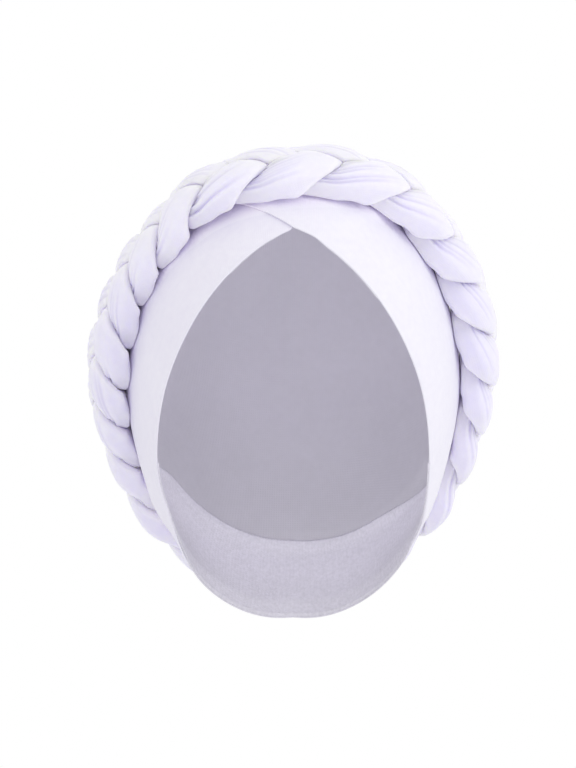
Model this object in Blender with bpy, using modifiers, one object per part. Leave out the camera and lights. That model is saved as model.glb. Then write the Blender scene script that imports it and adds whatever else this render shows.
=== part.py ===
# Chemo head wrap: a pale jersey cap with a crossed front, a puffy three-strand braid round the crown,
# a darker lining and a lighter band inside the nape. It is shown as worn, with nothing in it.
# Metres, +Z up, the open front toward -Y. The origin is the inside top of the crown.
# A place on the wrap is given by two angles in degrees: "around" the tilted pole at the back of the
# crown, from 0 at the forehead through 90 on the +X side to 180 at the nape, and "down" from that pole.

import bpy
import math
import numpy as np

COLLECTION_NAME = "chemo_head_wrap"

# The form that the stretched cloth takes, measured from its own centre
HALF_WIDTH = 0.081        # at the widest slice
FRONT_DEPTH = 0.100       # widest slice to the forehead
BACK_DEPTH = 0.088        # widest slice to the back of the crown
SLICE_BACK = 0.012        # widest slice behind the form's centre
CROWN_HEIGHT = 0.092      # widest level to the top
SIDE_DROP = 0.146         # level at which the narrowing sides would meet
BACK_DROP = 0.137         # level at which the narrowing back would meet
SIDE_POWER = 1.6          # how evenly the sides draw in toward the neck
ROUNDNESS = 2.2           # 2 is an ellipse, more is squarer
FACE_TAPER = 0.16         # share by which the form is narrower at the forehead
POLE_TILT = 45.0          # the pole leans back from the vertical by this angle
SEARCH_RADIUS = 0.200     # larger than any radius of the form
SEARCH_STEPS = 34
SLOPE_STEP = 0.0005       # step with which the form's slope is measured

# Cloth walls, from the outside in
PANEL_WALL = 0.0015
CROWN_WALL = 0.0015
LINING_WALL = 0.0012
LAYER_GAP = 0.0005        # between one layer of cloth and the next
LINING_GAP = 0.0007       # between the crown and the lining
SEAT_GAP = 0.0003         # between the braid and what it lies on
CROWN_DEPTH = PANEL_WALL + LAYER_GAP
UNDER_CROWN = CROWN_DEPTH + CROWN_WALL + LINING_GAP
UNDER_PANEL = PANEL_WALL + LAYER_GAP

# The front edge of the opening, the same on both sides: a row for each place around
EDGE_TABLE = {
    "around": (0, 9, 18, 36, 54, 72, 90, 108, 126, 144, 162, 180),
    "down": (102.9, 108.0, 113.0, 120.3, 125.0, 127.3, 128.0, 126.5, 121.5, 109.0, 103.4, 100.9),
}

# The line of the braid, its size and how far its lobes shift along it, for the +X side and for
# the -X side
BRAID_TABLE = {
    "around": (0, 30, 60, 90, 120, 150, 180),
    "down_right": (80.8, 71.5, 66.5, 75.5, 84.5, 85.0, 81.0),
    "down_left": (80.8, 80.4, 79.2, 84.0, 86.8, 87.0, 81.0),
    "size_right": (0.97, 1.05, 1.17, 1.10, 0.90, 0.90, 0.97),
    "size_left": (0.97, 0.93, 0.97, 1.05, 0.90, 0.90, 0.97),
    "shift_right": (-2.0, 1.5, 5.0, 1.5, -1.0, 1.0, 5.0),
    "shift_left": (-2.0, -1.5, 1.3, 4.2, 10.5, 11.0, 5.0),
}

# The upper edge of the nape band, where the lining stops
NAPE_TABLE = {
    "around": (108, 120, 135, 150, 165, 180),
    "down_right": (117.0, 104.0, 89.5, 82.3, 80.5, 79.5),
    "down_left": (113.0, 95.0, 81.5, 79.8, 79.5, 79.5),
}

# The crossing at the forehead: how fast the upper panel's free edge climbs away from the apex
CROSS_SLOPE = 0.94
CROSS_BEND = 0.009
CROSS_STEP = PANEL_WALL + 2.0 * LAYER_GAP
CROSS_FLAT = 8.5          # degrees past the lower panel's edge at full step
CROSS_FADE = 18.0         # degrees past it where the step has gone
CROSS_END = 25.0          # degrees around at which a panel's hidden end stops
TIP_WIDTH = 2.0           # degrees of cloth left at that end

# Where the layers overlap under the braid, in degrees down from the braid's line
PANEL_TOP = -7.0
CROWN_EDGE = -4.0
LINING_STEP_START = 1.0   # past the crown's edge, the lining begins to rise to the panels
LINING_STEP_END = 9.0
LINING_END_ROOM = 1.5     # degrees kept for the lining's last rows where it ends under the crown
LINING_END_STEP = 0.8     # and for each row before them
LINING_INSET = 1.3        # degrees between the lining's edge and the edge of the opening
NAPE_SEAM = 0.35          # degrees between the lining and the nape band
BACK_SEAM = 0.25          # degrees from the centre back to each panel's end

# The braid
PERIODS = 7               # full turns of the plait round the head
STRANDS = 3
PHASE_START = -10.0       # degrees of the plait at the forehead
SWING = 0.0098            # half the sideways travel of a strand's middle
MIDDLE = 0.0088           # height of the braid's middle over the cloth
WEAVE = 0.0030            # rise and fall of a strand as it crosses the others
WEAVE_FIRMNESS = 1.3      # more than 0 keeps a strand level on top and bends it down sharply
ROLL = 8.0                # degrees by which the braid's face turns to the front
STRAND_HALF_WIDTH = 0.0134
STRAND_HALF_HEIGHT = 0.0066
TOP_POWER = 2.3           # 2 is an elliptical section, more is fuller at its shoulders
BASE_POWER = 3.2          # the same for the half that lies on the cloth
STRAND_GAP = 0.0018       # between strands, before facets take their share
HEIGHT_STRETCH = 1.5      # strands press flatter against each other than round ones would
EMERGE_NARROW = 0.26      # share by which a lobe is narrower where it comes out from under another
EMERGE_PHASE = 58.0
EMERGE_SPREAD = 34.0
OUTER_FLATTEN = 0.36      # share by which the lobes on the crown side are narrower as they come out
OUTER_LOWER = 0.24        # and lower
OUTER_PHASE = 293.0
OUTER_SPREAD = 42.0
DIVE_WIDEN = 0.26         # share by which a strand bulges sideways before it dives on the crown side
DIVE_RAISE = 0.42         # and upward
DIVE_PHASE = 242.0
DIVE_SPREAD = 34.0

# Fineness of the solids
SHELL_COLUMNS = 40
CROWN_ROWS = 11
LINING_ROWS = 4           # from the crown's edge to the lining's own
PANEL_ROWS = 6
BAND_ROWS = 3
BAND_COLUMNS = 16
STRAND_SECTIONS = 126
STRAND_SIDES = 8
NEIGHBOUR_SAMPLES = 480

SEAT = np.array([0.0, SLICE_BACK, CROWN_HEIGHT - UNDER_CROWN - LINING_WALL])


def narrowing(level, drop, power):
    """Share of the full size that is left below the widest level."""
    share = np.clip(-level / drop, 0.0, 0.999)
    return (1.0 - share ** power) ** (1.0 / power)


def form_level(points):
    """1 on the form, less inside it."""
    x = np.abs(points[..., 0])
    y = points[..., 1] - SLICE_BACK
    z = points[..., 2]
    depth = np.where(y < 0.0, FRONT_DEPTH, BACK_DEPTH) * narrowing(z, BACK_DROP, ROUNDNESS)
    taper = 1.0 + FACE_TAPER * np.minimum(y, 0.0) / FRONT_DEPTH
    width = HALF_WIDTH * taper * narrowing(z, SIDE_DROP, SIDE_POWER)
    rise = np.maximum(z, 0.0) / CROWN_HEIGHT
    return (x / width) ** ROUNDNESS + (np.abs(y) / depth) ** ROUNDNESS + rise ** ROUNDNESS


def form_normal(points):
    """Outward directions on the form."""
    slopes = []
    for axis in range(3):
        step = np.zeros(3)
        step[axis] = SLOPE_STEP
        slopes.append(form_level(points + step) - form_level(points - step))
    normals = np.stack(slopes, axis=-1)
    return normals / np.linalg.norm(normals, axis=-1, keepdims=True)


def pole_direction(around, down):
    """Direction from the form's centre for the two angles."""
    tilt = math.radians(POLE_TILT)
    pole = np.array([0.0, math.sin(tilt), math.cos(tilt)])
    forehead = np.array([0.0, -math.cos(tilt), math.sin(tilt)])
    side = np.array([1.0, 0.0, 0.0])
    turn = np.radians(around)[..., None]
    fall = np.radians(down)[..., None]
    return np.cos(fall) * pole + np.sin(fall) * (np.cos(turn) * forehead + np.sin(turn) * side)


def form_points(around, down):
    """Points on the form, found by halving the search along each direction."""
    around, down = np.broadcast_arrays(np.asarray(around, float), np.asarray(down, float))
    directions = pole_direction(around, down)
    low = np.zeros(around.shape)
    high = np.full(around.shape, SEARCH_RADIUS)
    for _ in range(SEARCH_STEPS):
        middle = (low + high) / 2.0
        inside = form_level(directions * middle[..., None]) < 1.0
        low = np.where(inside, middle, low)
        high = np.where(inside, high, middle)
    return directions * low[..., None]


def skin(around, down, lift=0.0):
    """Points on the wrap, lifted off the form along its outward direction."""
    points = form_points(around, down)
    lift = np.broadcast_to(np.asarray(lift, float), points.shape[:-1])
    return points + form_normal(points) * lift[..., None] - SEAT


def curve_through(rows, values, places):
    """Smooth curve through a table's rows, with flat extension past both ends."""
    rows = np.asarray(rows, float)
    values = np.asarray(values, float)
    slopes = np.gradient(values, rows)
    places = np.clip(places, rows[0], rows[-1])
    left = np.clip(np.searchsorted(rows, places, side="right") - 1, 0, len(rows) - 2)
    width = rows[left + 1] - rows[left]
    share = (places - rows[left]) / width
    near = 2 * share ** 3 - 3 * share ** 2 + 1
    near_slope = share ** 3 - 2 * share ** 2 + share
    far = 1 - near
    far_slope = share ** 3 - share ** 2
    return (near * values[left] + near_slope * width * slopes[left]
            + far * values[left + 1] + far_slope * width * slopes[left + 1])


def wrapped(around):
    """The same angle between -180 and 180."""
    return (np.asarray(around, float) + 180.0) % 360.0 - 180.0


def opening_edge(around):
    """Down angle of the edge of the opening."""
    return curve_through(EDGE_TABLE["around"], EDGE_TABLE["down"], np.abs(wrapped(around)))


def two_sided(table, name, around):
    """Value of a table with a column for each side, joined smoothly at front and back."""
    rows = np.asarray(table["around"], float)
    right = np.asarray(table[name + "_right"], float)
    left = np.asarray(table[name + "_left"], float)
    places = np.concatenate([-rows[:0:-1], rows])
    values = np.concatenate([left[:0:-1], right])
    places = np.concatenate([places[-3:-1] - 360.0, places, places[1:3] + 360.0])
    values = np.concatenate([values[-3:-1], values, values[1:3]])
    return curve_through(places, values, wrapped(around))


def braid_down(around):
    return two_sided(BRAID_TABLE, "down", around)


def braid_size(around):
    return two_sided(BRAID_TABLE, "size", around)


def nape_edge(around):
    """Down angle of the seam between the lining and the nape band."""
    turn = wrapped(around)
    right = curve_through(NAPE_TABLE["around"], NAPE_TABLE["down_right"], np.abs(turn))
    left = curve_through(NAPE_TABLE["around"], NAPE_TABLE["down_left"], np.abs(turn))
    return np.where(turn < 0.0, left, right)


def cross_edge(around):
    """Down angle of a panel's free edge beyond the apex of the opening."""
    turn = np.abs(wrapped(around))
    apex = EDGE_TABLE["down"][0]
    return apex - CROSS_SLOPE * turn - CROSS_BEND * turn ** 2


def smooth_step(value, start, end):
    share = np.clip((value - start) / (end - start), 0.0, 1.0)
    return share * share * (3.0 - 2.0 * share)


def cross_lift(around, down):
    """How far the upper panel is lifted by the lower one near the crossing."""
    past_edge = down - cross_edge(around)
    return CROSS_STEP * (1.0 - smooth_step(past_edge, CROSS_FLAT, CROSS_FADE))


def lining_depth(around, down):
    """Depth of the lining's outer face: under the crown it lies deeper than under the panels."""
    past_crown = down - braid_down(around) - CROWN_EDGE
    rise = smooth_step(past_crown, LINING_STEP_START, LINING_STEP_END)
    return UNDER_CROWN + (UNDER_PANEL - UNDER_CROWN) * rise


def fabric(name, colour, roughness):
    """A plain cloth material."""
    material = bpy.data.materials.new(name)
    material.use_nodes = True
    shader = material.node_tree.nodes["Principled BSDF"]
    shader.inputs["Base Color"].default_value = (*colour, 1.0)
    shader.inputs["Roughness"].default_value = roughness
    shader.inputs["Metallic"].default_value = 0.0
    return material


def new_object(name, collection, points, faces, material):
    """A smooth-shaded object from points and faces."""
    mesh = bpy.data.meshes.new(name)
    mesh.from_pydata([tuple(point) for point in points], [], faces)
    mesh.shade_smooth()
    mesh.materials.append(material)
    made = bpy.data.objects.new(name, mesh)
    collection.objects.link(made)
    return made


def add_wall(made, thickness):
    """Give an open sheet its thickness, inward from the sheet."""
    wall = made.modifiers.new("wall", "SOLIDIFY")
    wall.thickness = thickness
    wall.offset = -1.0
    wall.use_even_offset = True
    wall.use_rim = True


def strip_faces(rows, columns, closed):
    """Quads between rows of points, in rings if closed."""
    faces = []
    last = columns if closed else columns - 1
    for row in range(rows - 1):
        for column in range(last):
            after = (column + 1) % columns
            upper = row * columns
            lower = upper + columns
            faces.append((upper + column, lower + column, lower + after, upper + after))
    return faces


def spread(start, end, rows):
    """Rows of down angles after one edge, up to and with the next."""
    share = np.arange(1, rows + 1)[:, None] / rows
    return start + share * (end - start)


def dome_columns():
    return np.arange(SHELL_COLUMNS) * 360.0 / SHELL_COLUMNS


def make_dome(name, collection, down, depth, thickness, material):
    """A cap from the pole down through rows of angles, with its outer face at a given depth."""
    turn = np.broadcast_to(dome_columns(), down.shape)
    rings = skin(turn, down, -depth(turn, down)).reshape(-1, 3)
    pole = skin(0.0, 0.0, -depth(0.0, 0.0))
    points = np.vstack([rings, pole])
    faces = strip_faces(len(down), SHELL_COLUMNS, closed=True)
    for column in range(SHELL_COLUMNS):
        faces.append((len(rings), column, (column + 1) % SHELL_COLUMNS))
    made = new_object(name, collection, points, faces, material)
    add_wall(made, thickness)
    return made


def make_band(name, collection, around, top, bottom, depth, rows, thickness, material):
    """A band of cloth between two edges, with its outer face at a given depth."""
    share = np.linspace(0.0, 1.0, rows + 1)[:, None]
    down = top[None, :] * (1.0 - share) + bottom[None, :] * share
    turn = np.broadcast_to(around, down.shape)
    points = skin(turn, down, -depth(turn, down)).reshape(-1, 3)
    faces = strip_faces(rows + 1, len(around), closed=False)
    made = new_object(name, collection, points, faces, material)
    add_wall(made, thickness)
    return made


def crown_rows(around):
    """Down angles of the crown's rows, which the lining's rows lie under."""
    return spread(0.0, braid_down(around) + CROWN_EDGE, CROWN_ROWS)


def make_crown(collection, material):
    def depth(around, down):
        return np.full(np.shape(down), CROWN_DEPTH)

    return make_dome("crown", collection, crown_rows(dome_columns()), depth, CROWN_WALL, material)


def make_lining(collection, material):
    around = dome_columns()
    front = opening_edge(around) - LINING_INSET
    edge = np.minimum(front, nape_edge(around) - NAPE_SEAM / 2.0)
    upper = crown_rows(around)
    upper[-1] += LINING_STEP_START
    room = LINING_END_ROOM + LINING_END_STEP * np.arange(CROWN_ROWS)[::-1, None]
    upper = np.minimum(upper, edge - room)
    lower = spread(upper[-1], edge, LINING_ROWS)
    down = np.vstack([upper, lower])
    return make_dome("lining", collection, down, lining_depth, LINING_WALL, material)


def make_nape_band(collection, material):
    start = NAPE_TABLE["around"][0]
    around = np.linspace(start, 360.0 - start, BAND_COLUMNS + 1)
    bottom = opening_edge(around) - LINING_INSET
    top = np.minimum(nape_edge(around) + NAPE_SEAM / 2.0, bottom - TIP_WIDTH)
    return make_band("nape_band", collection, around, top, bottom, lining_depth,
                     BAND_ROWS, LINING_WALL, material)


def make_panel(name, collection, side, upper, material):
    """A front panel from its hidden end at the crossing to the centre back."""
    step = 360.0 / SHELL_COLUMNS
    inner = np.arange(-math.floor(CROSS_END / step), SHELL_COLUMNS // 2) * step
    around = np.concatenate([[-CROSS_END], inner, [180.0 - BACK_SEAM]])
    top = braid_down(side * around) + PANEL_TOP
    edge = np.where(around < 0.0, cross_edge(around), opening_edge(around))
    bottom = np.maximum(edge, top + TIP_WIDTH)
    if side < 0:
        around, top, bottom = -around[::-1], top[::-1], bottom[::-1]

    def depth(turn, down):
        return -cross_lift(turn, down) if upper else np.zeros(np.shape(down))

    return make_band(name, collection, around, top, bottom, depth,
                     PANEL_ROWS, PANEL_WALL, material)


def braid_seat(around):
    """Height of the cloth under the braid over the form."""
    lifts = [cross_lift(around, braid_down(around) + offset) for offset in (PANEL_TOP, 0.0, -PANEL_TOP)]
    return np.max(lifts, axis=0) + SEAT_GAP


def strand_phase(number, around):
    """Place of one strand in the plait's repeat, in degrees."""
    even = around - two_sided(BRAID_TABLE, "shift", around)
    return PERIODS * even + PHASE_START + 360.0 * number / STRANDS


def phase_bump(phase, middle, spread):
    """A bump round one phase of the plait, the same in every repeat."""
    return np.exp(-((((phase - middle) + 180.0) % 360.0 - 180.0) / spread) ** 2)


def edge_shares(phase):
    """How much of its half width a strand keeps on its face side and on its crown side, and how
    much of its height. Toward the crown it bulges as it dives and is flat as it comes out, which
    keeps the plait's outline even."""
    face = 1.0 - EMERGE_NARROW * phase_bump(phase, EMERGE_PHASE, EMERGE_SPREAD)
    bulge = phase_bump(phase, DIVE_PHASE, DIVE_SPREAD)
    flat = phase_bump(phase, OUTER_PHASE, OUTER_SPREAD)
    crown = 1.0 + DIVE_WIDEN * bulge - OUTER_FLATTEN * flat
    high = 1.0 + DIVE_RAISE * bulge - OUTER_LOWER * flat
    return face, crown, high


def strand_line(number, samples):
    """Middle line of one strand: its points, and its height over the cloth it lies on."""
    around = np.arange(samples) * 360.0 / samples
    phase = np.radians(strand_phase(number, around))
    size = braid_size(around)
    sideways = SWING * size * np.sin(phase)
    rise = -WEAVE * size * np.tanh(WEAVE_FIRMNESS * np.sin(2.0 * phase)) / math.tanh(WEAVE_FIRMNESS)
    roll = math.radians(ROLL)
    across = sideways * math.cos(roll) + rise * math.sin(roll)
    height = MIDDLE * size + rise * math.cos(roll) - sideways * math.sin(roll)
    middle = braid_down(around)
    radius = np.linalg.norm(form_points(around, middle), axis=-1)
    down = middle + np.degrees(across / radius)
    points = skin(around, down, braid_seat(around) + height)
    normals = form_normal(form_points(around, down))
    return points, normals, height, size


def pressed_share(reach, floor_height, normal, offsets):
    """Share of a strand's full reach that its neighbours and the cloth below leave it."""
    along = reach @ normal
    stretched = reach + (HEIGHT_STRETCH - 1.0) * along * normal
    length = np.linalg.norm(stretched)
    toward = offsets @ (stretched / length)
    facing = toward + STRAND_GAP > 0.0
    squared = np.sum(offsets[facing] ** 2, axis=1)
    limits = (squared - STRAND_GAP ** 2) / (2.0 * (toward[facing] + STRAND_GAP))
    share = min(1.0, limits.min() / length) if len(limits) else 1.0
    if along < 0.0:
        share = min(share, floor_height / -along)
    return share


def make_strand(number, collection, material):
    """One strand of the braid: a closed loft of sections pressed flat where strands touch."""
    points, normals, heights, sizes = strand_line(number, STRAND_SECTIONS)
    others = [strand_line(other, NEIGHBOUR_SAMPLES)[0] for other in range(STRANDS) if other != number]
    neighbours = np.vstack(others)
    tangents = np.roll(points, -1, axis=0) - np.roll(points, 1, axis=0)
    tangents /= np.linalg.norm(tangents, axis=1, keepdims=True)
    places = np.arange(STRAND_SECTIONS) * 360.0 / STRAND_SECTIONS
    face_shares, crown_shares, high_shares = edge_shares(strand_phase(number, places))
    rings = []
    for index, centre in enumerate(points):
        normal, tangent, height, size = normals[index], tangents[index], heights[index], sizes[index]
        up = normal - tangent * (normal @ tangent)
        up /= np.linalg.norm(up)
        side = np.cross(tangent, up)
        offsets = neighbours - centre
        offsets = offsets + (HEIGHT_STRETCH - 1.0) * (offsets @ normal)[:, None] * normal
        above = STRAND_HALF_HEIGHT * size * high_shares[index]
        below = max(above, height)
        for corner in range(STRAND_SIDES):
            angle = 2.0 * math.pi * corner / STRAND_SIDES
            along, over = math.cos(angle), math.sin(angle)
            power = TOP_POWER if over > 0.0 else BASE_POWER
            full = (abs(along) ** power + abs(over) ** power) ** (-1.0 / power)
            tall = above if over > 0.0 else below
            wide = STRAND_HALF_WIDTH * size * (face_shares[index] if along > 0.0 else crown_shares[index])
            reach = (side * along * wide + up * over * tall) * full
            rings.append(centre + reach * pressed_share(reach, height, normal, offsets))
    faces = strip_faces(STRAND_SECTIONS, STRAND_SIDES, closed=True)
    last = (STRAND_SECTIONS - 1) * STRAND_SIDES
    for corner in range(STRAND_SIDES):
        after = (corner + 1) % STRAND_SIDES
        faces.append((last + corner, corner, after, last + after))
    name = "braid_strand_" + str(number + 1)
    return new_object(name, collection, rings, faces, material)


def main():
    for old in list(bpy.data.objects):
        bpy.data.objects.remove(old, do_unlink=True)
    collection = bpy.data.collections.new(COLLECTION_NAME)
    bpy.context.scene.collection.children.link(collection)
    jersey = fabric("lavender_jersey", (0.78, 0.75, 0.90), 0.85)
    inner = fabric("grey_lining", (0.42, 0.40, 0.48), 0.90)
    knit = fabric("nape_knit", (0.60, 0.57, 0.68), 0.90)
    make_crown(collection, jersey)
    make_panel("front_panel_left", collection, -1, False, jersey)
    make_panel("front_panel_right", collection, 1, True, jersey)
    make_lining(collection, inner)
    make_nape_band(collection, knit)
    for number in range(STRANDS):
        make_strand(number, collection, jersey)


main()
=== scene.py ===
# Chemo head wrap, dressed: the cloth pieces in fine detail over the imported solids, with their
# materials, a pale stage, soft light and the camera. The shapes are worked out in code.
# Metres, +Z up, the open front toward -Y. The origin is the inside top of the crown.
# A place on the wrap is given by two angles in degrees: "around" the tilted pole at the back of the
# crown, from 0 at the forehead through 90 on the +X side to 180 at the nape, and "down" from that pole.

import math
import random

import bpy
import numpy as np
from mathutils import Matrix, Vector


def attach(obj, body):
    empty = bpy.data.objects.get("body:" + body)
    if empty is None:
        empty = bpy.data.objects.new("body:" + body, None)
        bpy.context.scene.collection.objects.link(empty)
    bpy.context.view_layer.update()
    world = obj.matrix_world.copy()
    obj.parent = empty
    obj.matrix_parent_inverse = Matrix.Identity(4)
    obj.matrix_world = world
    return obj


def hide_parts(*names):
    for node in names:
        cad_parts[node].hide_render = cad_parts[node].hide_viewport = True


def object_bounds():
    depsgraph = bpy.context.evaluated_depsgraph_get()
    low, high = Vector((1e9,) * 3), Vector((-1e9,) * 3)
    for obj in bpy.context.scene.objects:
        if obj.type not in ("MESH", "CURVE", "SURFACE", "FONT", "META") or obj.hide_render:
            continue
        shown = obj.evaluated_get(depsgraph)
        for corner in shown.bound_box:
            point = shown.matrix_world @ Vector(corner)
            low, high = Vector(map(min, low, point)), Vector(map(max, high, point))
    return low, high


bl_info = {
    "name": "Chemo head wrap",
    "version": (1, 0, 0),
    "blender": (4, 5, 0),
    "location": "3D View > Sidebar > Head wrap",
    "description": "Makes the cloth pieces of a braided head wrap around its packed solids",
    "category": "Object",
}

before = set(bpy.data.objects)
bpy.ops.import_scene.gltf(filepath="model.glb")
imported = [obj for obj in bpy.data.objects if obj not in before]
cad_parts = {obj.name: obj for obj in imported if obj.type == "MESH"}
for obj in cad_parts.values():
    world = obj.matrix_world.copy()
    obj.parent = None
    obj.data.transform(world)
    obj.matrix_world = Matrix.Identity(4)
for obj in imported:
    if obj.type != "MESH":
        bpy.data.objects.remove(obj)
CAD_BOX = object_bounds()
BODY = "root"
TINY = 1e-12

# The form that the stretched cloth takes, as in the part's source
HALF_WIDTH = 0.081
FRONT_DEPTH = 0.100
BACK_DEPTH = 0.088
SLICE_BACK = 0.012
CROWN_HEIGHT = 0.092
SIDE_DROP = 0.146
BACK_DROP = 0.137
SIDE_POWER = 1.6
ROUNDNESS = 2.2
FACE_TAPER = 0.16
POLE_TILT = 45.0
SEARCH_RADIUS = 0.200
SEARCH_STEPS = 34
SLOPE_STEP = 0.0005
MEAN_RADIUS = 0.095
KNIT_SCALE = math.radians(1.0) * MEAN_RADIUS   # turns degrees on the form into lengths

# Cloth walls and the gaps between them, from the outside in
PANEL_WALL = 0.0015
CROWN_WALL = 0.0015
LINING_WALL = 0.0012
LAYER_GAP = 0.0005
LINING_GAP = 0.0007
CROWN_DEPTH = PANEL_WALL + LAYER_GAP
UNDER_CROWN = CROWN_DEPTH + CROWN_WALL + LINING_GAP
UNDER_PANEL = PANEL_WALL + LAYER_GAP
SEAT = np.array([0.0, SLICE_BACK, CROWN_HEIGHT - UNDER_CROWN - LINING_WALL])

# Down angles of the opening's edge, the braid's middle line and the nape band's seam, with the
# braid's size and how far its lobes are shifted along it
EDGE_TABLE = {
    "around": (0, 9, 18, 36, 54, 72, 90, 108, 126, 144, 162, 180),
    "down": (102.9, 108.0, 113.0, 120.3, 125.0, 127.3, 128.0, 126.5, 121.5, 109.0, 103.4, 100.9),
}
BRAID_TABLE = {
    "around": (0, 30, 60, 90, 120, 150, 180),
    "down_right": (80.8, 71.5, 66.5, 75.5, 83.2, 83.3, 80.5),
    "down_left": (80.8, 80.4, 79.2, 84.0, 86.0, 84.8, 80.5),
    "size_right": (0.97, 1.05, 1.17, 1.10, 0.87, 0.86, 0.94),
    "size_left": (0.97, 0.93, 0.97, 1.05, 0.89, 0.84, 0.94),
    "shift_right": (-2.0, 1.5, 5.0, 1.5, -1.0, 1.0, 5.0),
    "shift_left": (-2.0, -1.5, 1.3, 4.2, 10.5, 11.0, 5.0),
}
NAPE_TABLE = {
    "around": (108, 120, 135, 150, 165, 180),
    "down_right": (117.0, 104.0, 89.5, 82.3, 80.5, 79.5),
    "down_left": (113.0, 95.0, 81.5, 79.8, 79.5, 79.5),
}

# The panels' crossing above the forehead, and the edges that lie under other pieces, in degrees
# but for the step
CROSS_SLOPE = 0.94
CROSS_BEND = 0.009
CROSS_STEP = PANEL_WALL + 2.0 * LAYER_GAP
CROSS_FLAT = 8.5
CROSS_FADE = 18.0
CROSS_END = 25.0
TIP_WIDTH = 2.0
PANEL_TOP = -7.0
CROWN_EDGE = -4.0
LINING_STEP_START = 1.0
LINING_STEP_END = 9.0

# The braid, as in the part's source
PERIODS = 7
STRANDS = 3
PHASE_START = -10.0
SWING = 0.0098
MIDDLE = 0.0088
WEAVE = 0.0030
ROLL = 8.0
STRAND_HALF_WIDTH = 0.0134
STRAND_HALF_HEIGHT = 0.0066
HEIGHT_STRETCH = 1.5
EMERGE_NARROW = 0.26      # share by which a lobe is narrower where it comes out from under another
EMERGE_PHASE = 58.0
EMERGE_SPREAD = 34.0
OUTER_FLATTEN = 0.36      # share by which the lobes on the crown side are flattened at their widest
OUTER_LOWER = 0.24
OUTER_PHASE = 293.0
OUTER_SPREAD = 42.0
DIVE_WIDEN = 0.26         # shares by which a strand bulges before it dives on the crown side
DIVE_RAISE = 0.42
DIVE_PHASE = 242.0
DIVE_SPREAD = 34.0

# Fineness of the cloth pieces
STRAND_SECTIONS = 560
STRAND_SIDES = 112
NEIGHBOUR_SAMPLES = 960
NEAR_STRAND = 0.045       # only nearer neighbours press on a section
SHELL_STEP = 0.6          # degrees between the columns of a shell
OUTER_ROWS = 72
ROW_CROWDING = 1.5        # over 1 the rows of a shell lie closer together toward its edge
RIM_ROWS = 7
NOISE_WAVES = 7

# How the dressed strands lie
STRAND_GAP = 0.0001       # they press closer together than their solids do
SEAT_GAP = 0.0001
WEAVE_FIRMNESS = 1.3      # they run level on top and bend down sharply to cross
TOP_POWER = 2.3           # 2 is an ellipse, more is fuller at its shoulders
BASE_POWER = 4.5          # for the half that lies on the cloth
PRESSED_SHARE = 0.45      # share of its reach at which a strand is wholly pressed
SHAPE_SOFTENING = 2       # times that it is evened out
# Times that the painted light in the clefts is evened out
PALE_SOFTENING = 8

# Edges of the dressed cloth: walls and gaps in metres, widths along the form in degrees
RIM_WALL = 0.0009         # the panels thin to this at the opening's edge
HEM_WIDTH = 5.0           # over this width
RIM_BLEND = 5.0           # the lining comes up to the panels' edge over this width
RIM_CLOSE = 0.4           # and lies against it from here on
CLOTH_GAP = 0.0001        # between dressed layers
INNER_RIM_WALL = 0.0007
INNER_INSET = 0.20        # between the lining's edge and the opening's
APEX_INSET = 1.8          # more of the same at the apex, where the upper panel is lifted
APEX_PLACE = 1.5
APEX_SPREAD = 4.0
NAPE_DROP = 1.3           # by which the dressed seam lies below the solids'
EDGE_DENTS = ((0.0046, -136.0, 15.0), (0.0014, 139.0, 10.0))   # depth, place and spread
DENT_REACH = 13.0
TURN_START = (139.0, 149.0)   # where the nape band comes to be turned over the panels' edge
TURN_END = (204.0, 214.0)     # and where that ends
TURN_WIDTH = 0.9          # by which the panels' edge keeps back there
NAPE_LAP = 0.7            # by which the nape band laps over the lining
LAP_FADE = (0.3, 2.4)
LAP_WALL = 0.0003
LAP_ROOM = 0.0001
CROSS_TUCK = 1.6          # by which the lower panel's hidden edge keeps back from the upper's
TUCK_FADE = (-1.2, 1.4)
PRESS_FADE = (0.0, 14.0)  # where the upper panel's thin edge stops being pressed down
SCENE_CROSS_SHARE = 0.66  # the dressed panels lie closer together at the crossing than the solids
LIFT_BELOW = (2.0, 6.0)   # where the lining is lifted with the upper panel
LIFT_SIDE = (-60.0, -40.0)
BACK_JOIN = 0.03          # from the centre back to each dressed panel's end
BACK_TUCK = 0.0002        # how far each panel's end is drawn in there
BACK_TUCK_WIDTH = 0.9

# Slow waves in the cloth: their heights in metres, and their spacing around and down in degrees
# with their seeds
CROWN_WAVE_HEIGHT = 0.0002
CROWN_WAVES = (16.0, 14.0, 5)
CROWN_WAVES_START = (4.0, 20.0)
CROWN_WAVES_END = (-6.0, -1.0)
PANEL_WAVE_HEIGHT = 0.00012
PANEL_WAVES = {"left": (9.0, 7.0, 20), "right": (9.0, 7.0, 22)}
INNER_WAVE_HEIGHT = 0.00006
LINING_WAVES = (12.0, 9.0, 31)
NAPE_WAVES = (8.0, 6.0, 41)

# The crown's swell and puckers next to the braid, in degrees from the crown's edge
CROWN_SWELL = 0.0011
PUCKERS = 88.0
PUCKER_HEIGHT = 0.00035
PUCKER_UNEVEN = 1.6
PUCKER_WAVES = (9.0, 9.0, 3)
PUCKER_START = (-17.0, -8.0)
PUCKER_END = (-5.0, -1.0)

# The knit, what the cloths' finishes share, and the colour of painted light
COURSE_SHARE = 0.8        # a stitch's height as a share of its width
WALE_SHARE = 0.6          # how much of the stitches' relief is their columns, the rest their rows
MOTTLE_RELIEF = 0.6
MOTTLE_DETAIL = 5.0
CLOUD_SCALE = 28.0
CLOUD_DETAIL = 3.0
NOISE_GAIN = 3.0
SHEEN_ROUGHNESS = 0.5
SPECULAR_LEVEL = 0.25
SOAK_SHARES = (0.8, 0.75, 1.0)   # how light soaks into the padded cloth
SOAK_DEPTH = 0.010
# The pale colour of painted light, which lifts the shade beside and inside the braid
PAINTED_LIGHT_COLOUR = (0.965, 0.93, 1.0)
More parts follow.
